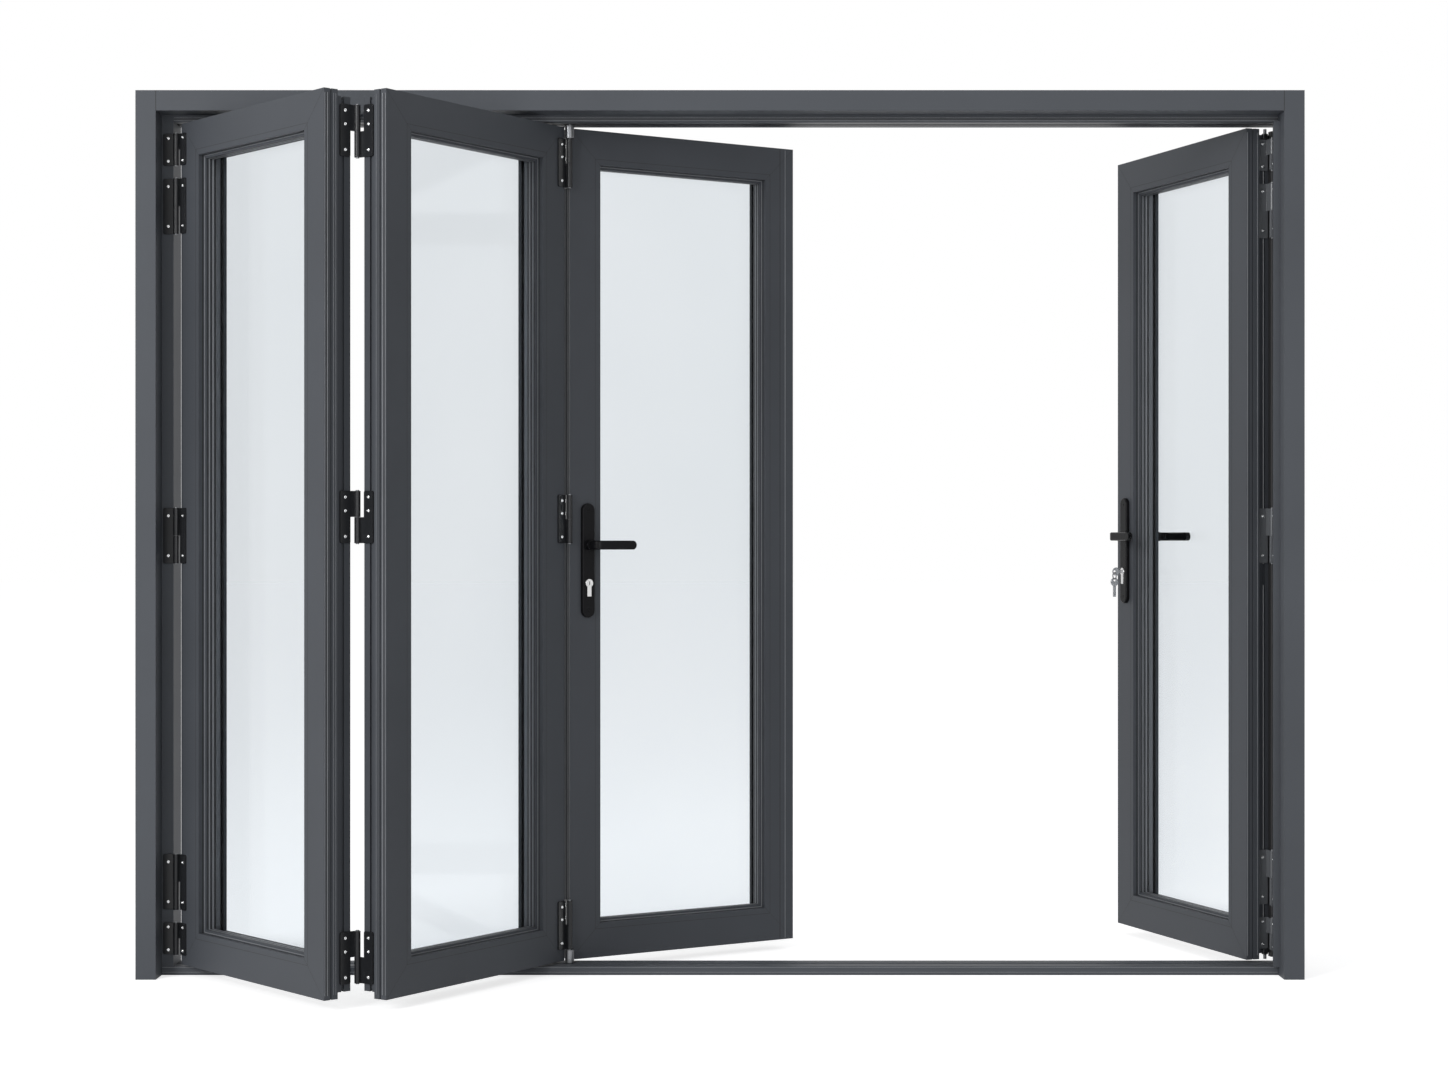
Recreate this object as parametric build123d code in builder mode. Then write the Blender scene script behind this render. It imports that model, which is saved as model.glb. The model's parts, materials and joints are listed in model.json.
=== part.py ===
# Folding door: a fixed outer frame, three folding leaves stacked to the left and one access
# door hung on the right jamb. Millimetres, X to the right, Y away from the viewer, Z up.
# The origin lies on the floor, at the middle of the frame's width and depth.
from build123d import *
import math
import os

os.makedirs("parts", exist_ok=True)

# Outer frame
frame_width = 2760.0
frame_height = 2100.0
frame_depth = 150.0
casing_face = 48.0
casing_depth = 65.0
jamb_step = 28.0
head_step = 16.0
stop_lip_width = 14.0
stop_lip_depth = 12.0
pocket_clear = 5.0
sill_height = 21.0

# Running gaps between the leaves and the frame
leaf_gap = 6.0
lip_gap = 5.0
set_back = 2.0
hinge_gap = 7.0
jamb_axis_gap = 8.0
door_gap = 12.0

# Leaves
leaf_width = 640.0
leaf_depth = 75.0
flange_depth = 35.0
rebate = 12.0
profile_face = 69.0
sight_width = 83.0
edge_groove_width = 4.0
edge_groove_depth = 3.0
rod_groove_width = 7.0
rod_groove_depth = 5.0
bead_depth = 38.0
bead_step = 8.0
bead_step_depth = 15.0
gasket_depth = 3.0
pane_thickness = 4.0
pane_space = 16.0
pane_clearance = 3.0
gasket_width = 9.0
spacer_width = 7.0
spacer_inset = 2.0
bead_mitre_gap = 0.3

# Stored pose: the turn of each leaf out of the frame's plane, in degrees
leaf_1_turn = 49.4
leaf_2_turn = 56.0
leaf_3_turn = 31.5
door_turn = 70.2

# Hinges
plate_thickness = 4.0
plate_round = 4.0
plate_margin = 1.0
knuckle_radius = 7.0
pin_radius = 4.0
pin_clearance = 0.05
pin_proud = 2.0
knuckle_gap = 0.4
face_axis_out = 10.0
back_axis_out = 14.0
door_axis_in = 11.0
jamb_hinge_height = 132.0
jamb_hinge_inset = 196.5
jamb_middle_rise = 20.0
pivot_hinge_height = 76.0
pivot_hinge_inset = 61.5
leaf_hinge_height = 116.0
leaf_hinge_inset = 86.5
leaf_middle_rise = 60.0
jamb_plate_width = 24.0
leaf_plate_width = 26.0
knuckle_clear = 16.0

# Track, carriage and guide
track_width = 44.0
track_height = 40.0
track_wall = 3.0
track_slot = 16.0
guide_groove_width = 14.0
guide_groove_depth = 12.0
hanger_radius = 11.0
hanger_clear = 2.0
neck_radius = 6.5
truck_length = 84.0
truck_width = 12.0
truck_height = 16.0
wheel_radius = 12.0
wheel_width = 7.0
wheel_spread = 27.0
wheel_clear = 1.0
axle_radius = 3.0
guide_pin_radius = 5.0
guide_floor_gap = 2.0

# Shoot bolts on the door's hinge edge
bolt_radius = 4.0
bolt_tip = 1.0
bolt_clear = 1.0
bolt_length = 22.0
bolt_block_width = 12.0
bolt_block_depth = 9.0
bolt_block_height = 12.0

# Handles and locks
handle_inset = 46.0
handle_height_leaf_3 = 1026.0
handle_height_door = 1048.0
plate_width = 34.0
plate_length = 276.0
plate_depth = 10.0
plate_edge_round = 3.0
lever_rise = 37.0
lever_length = 108.0
lever_width = 22.0
lever_depth = 12.0
lever_reach = 48.0
lever_bend = 16.0
lever_edge_round = 4.0
boss_radius = 12.0
boss_length = 14.0
boss_gap = 0.4
spindle_side = 8.0
spindle_hole_radius = 6.5
lock_drop = 92.0
lock_radius = 10.0
lock_leg = 11.0
lock_height = 42.0
lock_proud = 3.0
lock_clearance = 0.2

# Keys
key_thickness = 2.4
key_radius = 11.0
key_hole_radius = 3.5
key_hole_out = 5.0
key_shank = 8.0
key_blade_width = 8.0
key_blade_length = 28.0
key_overlap = 2.0
ring_radius = 9.0
ring_wire = 1.2
ring_slack = 0.2

# Positions that follow from the sizes above
front_y = -frame_depth / 2
back_y = frame_depth / 2
step_y = front_y + casing_depth
inner_x = frame_width / 2 - casing_face
head_bottom = frame_height - casing_face - head_step
leaf_bottom = sill_height + leaf_gap
leaf_top = head_bottom - leaf_gap
leaf_height = leaf_top - leaf_bottom
leaf_middle = (leaf_top + leaf_bottom) / 2
jamb_hinge_spread = leaf_height / 2 - jamb_hinge_inset
pivot_hinge_spread = leaf_height / 2 - pivot_hinge_inset
leaf_hinge_spread = leaf_height / 2 - leaf_hinge_inset
bead_sight = sight_width + bead_step
glass_depth = 2 * pane_thickness + pane_space
bead_pocket = bead_depth + 2 * gasket_depth + glass_depth
closed_face_y = step_y + set_back
rear_end = leaf_width - rebate
knee_axis_in = rebate - hinge_gap
rear_middle = (flange_depth + leaf_depth) / 2


def turned(x, y, degrees):
    """A plan offset turned about the vertical."""
    c = math.cos(math.radians(degrees))
    s = math.sin(math.radians(degrees))
    return (x * c - y * s, x * s + y * c)


def leaf_corner(axis, x, y, degrees):
    """The leaf's front left corner, when the axis lies at x, y in the leaf's own plan."""
    dx, dy = turned(x, y, degrees)
    return (axis[0] - dx, axis[1] - dy)


def leaf_point(corner, x, y, degrees):
    """A point of the leaf's own plan, in the frame's plan."""
    dx, dy = turned(x, y, degrees)
    return (corner[0] + dx, corner[1] + dy)


# Hinge axes and leaf corners in plan
knee_axis_depth = leaf_depth + back_axis_out
far_axis_x = leaf_width + hinge_gap
door_axis_x = leaf_width + door_gap
door_axis_depth = leaf_depth - door_axis_in
axis_left = (-inner_x + jamb_step + jamb_axis_gap, closed_face_y - face_axis_out)
corner_1 = leaf_corner(axis_left, -hinge_gap, -face_axis_out, -leaf_1_turn)
axis_12 = leaf_point(corner_1, leaf_width - knee_axis_in, knee_axis_depth, -leaf_1_turn)
corner_2 = leaf_corner(axis_12, knee_axis_in, knee_axis_depth, leaf_2_turn)
axis_23 = leaf_point(corner_2, far_axis_x, -face_axis_out, leaf_2_turn)
corner_3 = leaf_corner(axis_23, -hinge_gap, -face_axis_out, leaf_3_turn)
axis_door = (inner_x, closed_face_y + door_axis_depth)
corner_door = leaf_corner(axis_door, door_axis_x, door_axis_depth, -door_turn)
track_y = axis_23[1]
pocket_width = knuckle_radius + pocket_clear
pocket_front = axis_door[1] - knuckle_radius - pocket_clear

leaf_places = {
    "leaf_1": (corner_1, -leaf_1_turn),
    "leaf_2": (corner_2, leaf_2_turn),
    "leaf_3": (corner_3, leaf_3_turn),
    "door": (corner_door, -door_turn),
}
handle_heights = {"leaf_3": handle_height_leaf_3, "door": handle_height_door}


def plan_plane(corner, degrees, z):
    """A level plane with X along a leaf and Y through its thickness."""
    return Plane(
        origin=(corner[0], corner[1], z),
        x_dir=(*turned(1, 0, degrees), 0),
        z_dir=(0, 0, 1),
    )


def end_plane(corner, degrees, x):
    """An upright plane across a leaf, with X through its thickness and Y up."""
    px, py = leaf_point(corner, x, 0, degrees)
    return Plane(
        origin=(px, py, 0),
        x_dir=(*turned(0, 1, degrees), 0),
        z_dir=(*turned(1, 0, degrees), 0),
    )


def face_plane(corner, degrees, depth):
    """A plane on or behind a leaf's front face, with X along it, Y up and Z to the front."""
    px, py = leaf_point(corner, 0, depth, degrees)
    return Plane(
        origin=(px, py, 0),
        x_dir=(*turned(1, 0, degrees), 0),
        z_dir=(*turned(0, -1, degrees), 0),
    )


# Section of a leaf's bars, measured in from the edge and back from the front face
edge_middle = flange_depth / 2
bar_points = [
    (0, 0),
    (profile_face, 0),
    (profile_face, bead_pocket),
    (sight_width, bead_pocket),
    (sight_width, leaf_depth),
    (rebate, leaf_depth),
    (rebate, rear_middle + rod_groove_width / 2),
    (rebate + rod_groove_depth, rear_middle + rod_groove_width / 2),
    (rebate + rod_groove_depth, rear_middle - rod_groove_width / 2),
    (rebate, rear_middle - rod_groove_width / 2),
    (rebate, flange_depth),
    (0, flange_depth),
    (0, edge_middle + edge_groove_width / 2),
    (edge_groove_depth, edge_middle + edge_groove_width / 2),
    (edge_groove_depth, edge_middle - edge_groove_width / 2),
    (0, edge_middle - edge_groove_width / 2),
]


def write(name, part):
    """Label a finished piece and write its file."""
    part.label = name
    export_step(part, f"parts/{name}.step")


def draw_lock(x, z, grow):
    """A profile cylinder's outline: a round head over a narrow leg."""
    with Locations((x, z)):
        Circle(lock_radius + grow)
        Rectangle(
            lock_leg + 2 * grow,
            lock_height - lock_radius + grow,
            align=(Align.CENTER, Align.MAX),
        )


def make_stiles(name, corner, degrees):
    """The two upright bars of a leaf, mitred at both ends and bored where a handle goes."""
    with BuildPart() as stiles:
        with BuildSketch(plan_plane(corner, degrees, leaf_bottom)):
            with BuildLine():
                Polyline(bar_points, close=True)
            make_face()
            with BuildLine():
                Polyline([(leaf_width - s, v) for s, v in bar_points], close=True)
            make_face()
        extrude(amount=leaf_height)
        with BuildSketch(face_plane(corner, degrees, 0)):
            for edge, inward in ((leaf_top, -sight_width), (leaf_bottom, sight_width)):
                with BuildLine():
                    Polyline(
                        (0, edge),
                        (leaf_width, edge),
                        (leaf_width - sight_width, edge + inward),
                        (sight_width, edge + inward),
                        close=True,
                    )
                make_face()
        extrude(amount=-leaf_depth, mode=Mode.SUBTRACT)
        if name in handle_heights:
            height = handle_heights[name]
            with BuildSketch(face_plane(corner, degrees, 0)):
                with Locations((handle_inset, height)):
                    Circle(spindle_hole_radius)
                draw_lock(handle_inset, height - lock_drop, lock_clearance)
            extrude(amount=-leaf_depth, mode=Mode.SUBTRACT)
    write(f"{name}_stiles", stiles.part)


def make_rails(name, corner, degrees):
    """The top and bottom bars of a leaf, mitred at both ends."""
    with BuildPart() as rails:
        with BuildSketch(end_plane(corner, degrees, 0)):
            with BuildLine():
                Polyline([(v, leaf_top - s) for s, v in bar_points], close=True)
            make_face()
            with BuildLine():
                Polyline([(v, leaf_bottom + s) for s, v in bar_points], close=True)
            make_face()
        extrude(amount=leaf_width)
        with BuildSketch(face_plane(corner, degrees, 0)):
            for edge, inward in ((leaf_top, -sight_width), (leaf_bottom, sight_width)):
                for x, across in ((0, sight_width), (leaf_width, -sight_width)):
                    with BuildLine():
                        Polyline(
                            (x, edge),
                            (x, edge + inward),
                            (x + across, edge + inward),
                            close=True,
                        )
                    make_face()
        extrude(amount=-leaf_depth, mode=Mode.SUBTRACT)
    write(f"{name}_rails", rails.part)


def make_beads(name, corner, degrees):
    """Four mitred glazing beads round the pane, stepped inward behind the leaf's front face."""
    bead_width = bead_sight - profile_face
    corner_in = profile_face + bead_width / 2
    side_x = leaf_width / 2 - corner_in
    side_z = leaf_height / 2 - corner_in
    layers = (
        (0, bead_step_depth, sight_width),
        (bead_step_depth, bead_depth - bead_step_depth, bead_sight),
    )
    with BuildPart() as beads:
        for depth, thickness, inner in layers:
            with BuildSketch(face_plane(corner, degrees, depth)):
                with Locations((leaf_width / 2, leaf_middle)):
                    Rectangle(leaf_width - 2 * profile_face, leaf_height - 2 * profile_face)
                    Rectangle(
                        leaf_width - 2 * inner,
                        leaf_height - 2 * inner,
                        mode=Mode.SUBTRACT,
                    )
            extrude(amount=-thickness)
        with BuildSketch(face_plane(corner, degrees, 0)):
            for way in (-1, 1):
                for rise in (-1, 1):
                    with Locations((leaf_width / 2 + way * side_x, leaf_middle + rise * side_z)):
                        Rectangle(2 * bead_width, bead_mitre_gap, rotation=way * rise * 45)
        extrude(amount=-bead_depth, mode=Mode.SUBTRACT)
    write(f"{name}_beads", beads.part)


def make_glass(name, corner, degrees):
    """Two panes, one behind the other."""
    pane_edge = profile_face + pane_clearance
    first = bead_depth + gasket_depth
    second = first + pane_thickness + pane_space
    with BuildPart() as glass:
        for depth in (first, second):
            with BuildSketch(face_plane(corner, degrees, depth)):
                with Locations((leaf_width / 2, leaf_middle)):
                    Rectangle(leaf_width - 2 * pane_edge, leaf_height - 2 * pane_edge)
            extrude(amount=-pane_thickness)
    write(f"{name}_glass", glass.part)


def make_seals(name, corner, degrees):
    """The front gasket, the spacer between the panes and the back gasket."""
    middle = bead_depth + gasket_depth + pane_thickness
    back = middle + pane_space + pane_thickness
    front_edge = bead_sight - gasket_width
    back_edge = sight_width - gasket_width
    spacer_edge = profile_face + pane_clearance + spacer_inset
    rings = (
        (bead_depth, gasket_depth, front_edge, gasket_width),
        (middle, pane_space, spacer_edge, spacer_width),
        (back, gasket_depth, back_edge, gasket_width),
    )
    with BuildPart() as seals:
        for depth, thickness, edge, width in rings:
            inner = edge + width
            with BuildSketch(face_plane(corner, degrees, depth)):
                with Locations((leaf_width / 2, leaf_middle)):
                    Rectangle(leaf_width - 2 * edge, leaf_height - 2 * edge)
                    Rectangle(
                        leaf_width - 2 * inner,
                        leaf_height - 2 * inner,
                        mode=Mode.SUBTRACT,
                    )
            extrude(amount=-thickness)
    write(f"{name}_seals", seals.part)


for leaf_name, (leaf_xy, leaf_turn) in leaf_places.items():
    make_stiles(leaf_name, leaf_xy, leaf_turn)
    make_rails(leaf_name, leaf_xy, leaf_turn)
    make_beads(leaf_name, leaf_xy, leaf_turn)
    make_glass(leaf_name, leaf_xy, leaf_turn)
    make_seals(leaf_name, leaf_xy, leaf_turn)

# Left jamb: full-height casing, with a step behind it that carries the first leaf's hinges
with BuildPart() as jamb_left:
    with BuildSketch(Plane.XY):
        with Locations((-inner_x - casing_face / 2, 0)):
            Rectangle(casing_face, frame_depth)
    extrude(amount=frame_height)
    with BuildSketch(Plane.XY.offset(sill_height)):
        with Locations((-inner_x, step_y)):
            Rectangle(jamb_step, back_y - step_y, align=(Align.MIN, Align.MIN))
    extrude(amount=head_bottom - sill_height)
write("jamb_left", jamb_left.part)

# Right jamb: the same casing, with a narrow stop lip in front of the door and a pocket along
# its back inner corner that the hinge knuckles lie in
with BuildPart() as jamb_right:
    with BuildSketch(Plane.XY):
        with Locations((inner_x + casing_face / 2, 0)):
            Rectangle(casing_face, frame_depth)
    extrude(amount=frame_height)
    with BuildSketch(Plane.XY.offset(sill_height)):
        with Locations((inner_x, closed_face_y - lip_gap)):
            Rectangle(stop_lip_width, stop_lip_depth, align=(Align.MAX, Align.MAX))
    extrude(amount=head_bottom - sill_height)
    with BuildSketch(Plane.XY.offset(sill_height)):
        with Locations((inner_x, back_y)):
            Rectangle(pocket_width, back_y - pocket_front, align=(Align.MIN, Align.MAX))
    extrude(amount=head_bottom - sill_height, mode=Mode.SUBTRACT)
write("jamb_right", jamb_right.part)

# Head between the jambs: casing in front, deeper body behind with a channel for the track
channel_front = track_y - track_width / 2
channel_back = track_y + track_width / 2
channel_top = head_bottom + track_height
with BuildPart() as head:
    with BuildSketch(Plane.YZ.offset(-inner_x)):
        with BuildLine():
            Polyline(
                (front_y, frame_height),
                (front_y, frame_height - casing_face),
                (step_y, frame_height - casing_face),
                (step_y, head_bottom),
                (channel_front, head_bottom),
                (channel_front, channel_top),
                (channel_back, channel_top),
                (channel_back, head_bottom),
                (back_y, head_bottom),
                (back_y, frame_height),
                close=True,
            )
        make_face()
    extrude(amount=2 * inner_x)
write("head", head.part)

# Track: an open channel let into the head, with a slot underneath for the carriage
with BuildPart() as head_track:
    with BuildSketch(Plane.YZ.offset(-inner_x)):
        with Locations((track_y, head_bottom + track_height / 2)):
            Rectangle(track_width, track_height)
            Rectangle(
                track_width - 2 * track_wall,
                track_height - 2 * track_wall,
                mode=Mode.SUBTRACT,
            )
        with Locations((track_y, head_bottom + track_wall / 2)):
            Rectangle(track_slot, track_wall, mode=Mode.SUBTRACT)
    extrude(amount=2 * inner_x)
write("head_track", head_track.part)

# Sill between the jambs, with a groove for the guide
with BuildPart() as sill:
    with BuildSketch(Plane.YZ.offset(-inner_x)):
        with Locations(((step_y + back_y) / 2, sill_height / 2)):
            Rectangle(back_y - step_y, sill_height)
        with Locations((track_y, sill_height - guide_groove_depth / 2)):
            Rectangle(guide_groove_width, guide_groove_depth, mode=Mode.SUBTRACT)
    extrude(amount=2 * inner_x)
write("sill", sill.part)


def make_hinge_side(name, axis, degrees, plane, near, far, outward, webs, rows, upper):
    """One side of a row of hinges: plates let on to a face, each with half of its knuckle.

    near and far bound the plates along the plane, which has Y up. webs are the rectangles in
    plan, from the axis, that join plate and knuckle.
    """
    with BuildPart() as side:
        for rise, height in rows:
            middle = leaf_middle + rise
            half = (height - knuckle_gap) / 2
            start = middle + knuckle_gap / 2 if upper else middle - height / 2
            with BuildSketch(plane):
                with Locations(((near + far) / 2, middle)):
                    RectangleRounded(far - near, height, plate_round)
            extrude(amount=outward * plate_thickness)
            with BuildSketch(plan_plane(axis, degrees, start)):
                Circle(knuckle_radius)
                for x0, x1, y0, y1 in webs:
                    with Locations(((x0 + x1) / 2, (y0 + y1) / 2)):
                        Rectangle(x1 - x0, y1 - y0)
            extrude(amount=half)
            with BuildSketch(plan_plane(axis, degrees, start)):
                Circle(pin_radius + pin_clearance)
            extrude(amount=half, mode=Mode.SUBTRACT)
    write(name, side.part)


def make_pins(name, sets):
    """The hinge pins, a little proud of their knuckles at both ends."""
    with BuildPart() as pins:
        for axis, rows in sets:
            for rise, height in rows:
                low = leaf_middle + rise - height / 2 - pin_proud
                with BuildSketch(Plane.XY.offset(low)):
                    with Locations(axis):
                        Circle(pin_radius)
                extrude(amount=height + 2 * pin_proud)
    write(name, pins.part)


# Rows of hinges: height of each above the leaf's middle, and its own height
jamb_rows = [
    (-pivot_hinge_spread, pivot_hinge_height),
    (-jamb_hinge_spread, jamb_hinge_height),
    (jamb_middle_rise, jamb_hinge_height),
    (jamb_hinge_spread, jamb_hinge_height),
    (pivot_hinge_spread, pivot_hinge_height),
]
leaf_rows = [
    (-leaf_hinge_spread, leaf_hinge_height),
    (leaf_middle_rise, leaf_hinge_height),
    (leaf_hinge_spread, leaf_hinge_height),
]

# Left jamb to leaf 1: plates on the jamb's step and on the leaf's front face
web_reach = hinge_gap + 2 * plate_margin
face_web_low = face_axis_out - plate_thickness
step_web_high = step_y - axis_left[1]
jamb_edge_x = -inner_x + jamb_step
make_hinge_side(
    "jamb_left_hinges",
    axis_left,
    0,
    face_plane((0, step_y), 0, 0),
    jamb_edge_x - jamb_plate_width,
    jamb_edge_x,
    1,
    [(-web_reach, 0, step_web_high - plate_thickness, step_web_high)],
    jamb_rows,
    False,
)
make_hinge_side(
    "leaf_1_jamb_hinges",
    axis_left,
    -leaf_1_turn,
    face_plane(corner_1, -leaf_1_turn, 0),
    plate_margin,
    plate_margin + jamb_plate_width,
    1,
    [(0, web_reach, face_web_low, face_axis_out)],
    jamb_rows,
    True,
)

# Leaf 1 to leaf 2: plates on the rear ends, knuckles behind the leaves
knee_plate_far = knee_axis_depth - knuckle_clear
knee_plate_near = knee_plate_far - leaf_plate_width
knee_web = knuckle_clear + 2 * plate_margin
make_hinge_side(
    "leaf_1_knee_hinges",
    axis_12,
    -leaf_1_turn,
    end_plane(corner_1, -leaf_1_turn, rear_end),
    knee_plate_near,
    knee_plate_far,
    1,
    [(-hinge_gap, plate_thickness - hinge_gap, -knee_web, 0)],
    leaf_rows,
    True,
)
make_hinge_side(
    "leaf_2_knee_hinges",
    axis_12,
    leaf_2_turn,
    end_plane(corner_2, leaf_2_turn, rebate),
    knee_plate_near,
    knee_plate_far,
    -1,
    [(hinge_gap - plate_thickness, hinge_gap, -knee_web, 0)],
    leaf_rows,
    False,
)

# Leaf 2 to leaf 3: plates on leaf 2's front face and on leaf 3's end, knuckles in front
make_hinge_side(
    "leaf_2_fold_hinges",
    axis_23,
    leaf_2_turn,
    face_plane(corner_2, leaf_2_turn, 0),
    leaf_width - plate_margin - leaf_plate_width,
    leaf_width - plate_margin,
    1,
    [(-web_reach, 0, face_web_low, face_axis_out)],
    leaf_rows,
    False,
)
make_hinge_side(
    "leaf_3_fold_hinges",
    axis_23,
    leaf_3_turn,
    end_plane(corner_3, leaf_3_turn, 0),
    plate_margin,
    plate_margin + leaf_plate_width,
    -1,
    [(hinge_gap - plate_thickness, hinge_gap, 0, face_axis_out + 2 * plate_margin)],
    leaf_rows,
    True,
)

# Right jamb to the door: plates on the reveal and on the door's rear end
door_strap_x = rear_end - door_axis_x
door_plate_near = door_axis_depth - leaf_plate_width
jamb_plate_far = axis_door[1] - 2 * knuckle_radius - 2 * plate_margin
make_hinge_side(
    "jamb_right_hinges",
    axis_door,
    0,
    end_plane((inner_x, 0), 0, 0),
    jamb_plate_far - jamb_plate_width,
    jamb_plate_far,
    -1,
    [(-plate_thickness, 0, jamb_plate_far - plate_margin - axis_door[1], 0)],
    jamb_rows,
    False,
)
make_hinge_side(
    "door_hinges",
    axis_door,
    -door_turn,
    end_plane(corner_door, -door_turn, rear_end),
    door_plate_near,
    door_axis_depth,
    1,
    [(door_strap_x, 0, -plate_thickness, 0)],
    jamb_rows,
    True,
)
make_pins("fold_hinge_pins", [(axis_left, jamb_rows), (axis_12, leaf_rows), (axis_23, leaf_rows)])
make_pins("door_hinge_pins", [(axis_door, jamb_rows)])

# Carriage: a truck on four wheels in the track, hung with a round hanger over the hinge pin
hanger_low = leaf_middle + leaf_hinge_spread + leaf_hinge_height / 2 + pin_proud
hanger_high = head_bottom - hanger_clear
lip_top = head_bottom + track_wall
axle_z = lip_top + wheel_radius
truck_low = axle_z - truck_height / 2
wheel_out = track_width / 2 - track_wall - wheel_clear
with BuildPart() as track_carriage:
    with BuildSketch(Plane.XY.offset(truck_low)):
        with Locations(axis_23):
            Rectangle(truck_length, truck_width)
    extrude(amount=truck_height)
    with BuildSketch(Plane.XZ.offset(-track_y - wheel_out)):
        for way in (-1, 1):
            with Locations((axis_23[0] + way * wheel_spread, axle_z)):
                Circle(wheel_radius)
    extrude(amount=wheel_width)
    with BuildSketch(Plane.XZ.offset(-track_y + wheel_out)):
        for way in (-1, 1):
            with Locations((axis_23[0] + way * wheel_spread, axle_z)):
                Circle(wheel_radius)
    extrude(amount=-wheel_width)
    with BuildSketch(Plane.XZ.offset(-track_y)):
        for way in (-1, 1):
            with Locations((axis_23[0] + way * wheel_spread, axle_z)):
                Circle(axle_radius)
    extrude(amount=wheel_out, both=True)
    with BuildSketch(Plane.XY.offset(hanger_low)):
        with Locations(axis_23):
            Circle(hanger_radius)
    extrude(amount=hanger_high - hanger_low)
    with BuildSketch(Plane.XY.offset(hanger_high)):
        with Locations(axis_23):
            Circle(neck_radius)
    extrude(amount=truck_low - hanger_high)
write("track_carriage", track_carriage.part)

# Guide: a round foot under the bottom hinge pin, with a pin that runs in the sill's groove
foot_high = leaf_middle - leaf_hinge_spread - leaf_hinge_height / 2 - pin_proud
foot_low = sill_height + hanger_clear
guide_low = sill_height - guide_groove_depth + guide_floor_gap
with BuildPart() as bottom_guide:
    with BuildSketch(Plane.XY.offset(foot_low)):
        with Locations(axis_23):
            Circle(hanger_radius)
    extrude(amount=foot_high - foot_low)
    with BuildSketch(Plane.XY.offset(guide_low)):
        with Locations(axis_23):
            Circle(guide_pin_radius)
    extrude(amount=foot_low - guide_low)
write("bottom_guide", bottom_guide.part)

# Shoot bolts: a rod end in a small block at the top and the bottom of the door's hinge edge
bolt_x = rear_end + bolt_radius + bolt_clear
block_x = rear_end + bolt_block_depth / 2
bolt_ends = (
    (leaf_top + bolt_tip - bolt_length, leaf_top - bolt_length),
    (leaf_bottom - bolt_tip, leaf_bottom + bolt_length - bolt_block_height),
)
with BuildPart() as door_shoot_bolts:
    for rod_low, block_low in bolt_ends:
        with BuildSketch(plan_plane(corner_door, -door_turn, rod_low)):
            with Locations((bolt_x, rear_middle)):
                Circle(bolt_radius)
        extrude(amount=bolt_length)
        with BuildSketch(plan_plane(corner_door, -door_turn, block_low)):
            with Locations((block_x, rear_middle)):
                Rectangle(bolt_block_depth, bolt_block_width)
        extrude(amount=bolt_block_height)
write("door_shoot_bolts", door_shoot_bolts.part)


def make_handle_plates(name, corner, degrees, height):
    """A long round-ended plate on each face of the leaf, bored for the spindle and the lock."""
    with BuildPart() as plates:
        for depth, out in ((0, 1), (leaf_depth, -1)):
            with BuildSketch(face_plane(corner, degrees, depth)):
                with Locations((handle_inset, height - lever_rise)):
                    SlotOverall(plate_length, plate_width, rotation=90)
            extrude(amount=out * plate_depth)
        across = Axis((0, 0, 0), (*turned(0, 1, degrees), 0))
        ends = plates.faces().filter_by(across).sort_by(across)
        fillet(ends[0].edges() + ends[-1].edges(), radius=plate_edge_round)
        for depth, out in ((0, 1), (leaf_depth, -1)):
            with BuildSketch(face_plane(corner, degrees, depth)):
                with Locations((handle_inset, height)):
                    Circle(spindle_hole_radius)
                draw_lock(handle_inset, height - lock_drop, lock_clearance)
            extrude(amount=out * plate_depth, mode=Mode.SUBTRACT)
    write(f"{name}_handle_plates", plates.part)


def make_levers(name, corner, degrees, height):
    """A bent lever on each face of the leaf, joined by the square spindle through the stile."""
    tip_x = handle_inset + lever_length - lever_width / 2
    with BuildPart() as levers:
        with BuildSketch(face_plane(corner, degrees, -plate_depth - boss_length)):
            with Locations((handle_inset, height)):
                Rectangle(spindle_side, spindle_side)
        extrude(amount=-(leaf_depth + 2 * plate_depth + 2 * boss_length))
        for face, out in ((0, -1), (leaf_depth, 1)):
            boss_start = face + out * (plate_depth + boss_gap)
            with BuildSketch(face_plane(corner, degrees, boss_start)):
                with Locations((handle_inset, height)):
                    Circle(boss_radius)
            extrude(amount=-out * boss_length)
            root = boss_start + out * boss_length / 2
            bar = face + out * lever_reach
            with BuildLine(plan_plane(corner, degrees, height)) as path:
                FilletPolyline(
                    (handle_inset, root),
                    (handle_inset, bar),
                    (tip_x, bar),
                    radius=lever_bend,
                )
            px, py = leaf_point(corner, handle_inset, root, degrees)
            section = Plane(
                origin=(px, py, height),
                x_dir=(0, 0, 1),
                z_dir=(*turned(0, out, degrees), 0),
            )
            with BuildSketch(section):
                RectangleRounded(lever_width, lever_depth, lever_edge_round)
            sweep(path=path.wires()[0])
            with BuildSketch(face_plane(corner, degrees, bar + lever_depth / 2)):
                with Locations((tip_x, height)):
                    Circle(lever_width / 2)
            extrude(amount=lever_depth)
    write(f"{name}_levers", levers.part)


def make_lock(name, corner, degrees, height):
    """The profile cylinder, right through the leaf and a little proud of both plates."""
    proud = plate_depth + lock_proud
    with BuildPart() as lock:
        with BuildSketch(face_plane(corner, degrees, -proud)):
            draw_lock(handle_inset, height - lock_drop, 0)
        extrude(amount=-(leaf_depth + 2 * proud))
    write(f"{name}_lock", lock.part)


for leaf_name, leaf_handle_height in handle_heights.items():
    leaf_xy, leaf_turn = leaf_places[leaf_name]
    make_handle_plates(leaf_name, leaf_xy, leaf_turn, leaf_handle_height)
    make_levers(leaf_name, leaf_xy, leaf_turn, leaf_handle_height)
    make_lock(leaf_name, leaf_xy, leaf_turn, leaf_handle_height)

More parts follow.
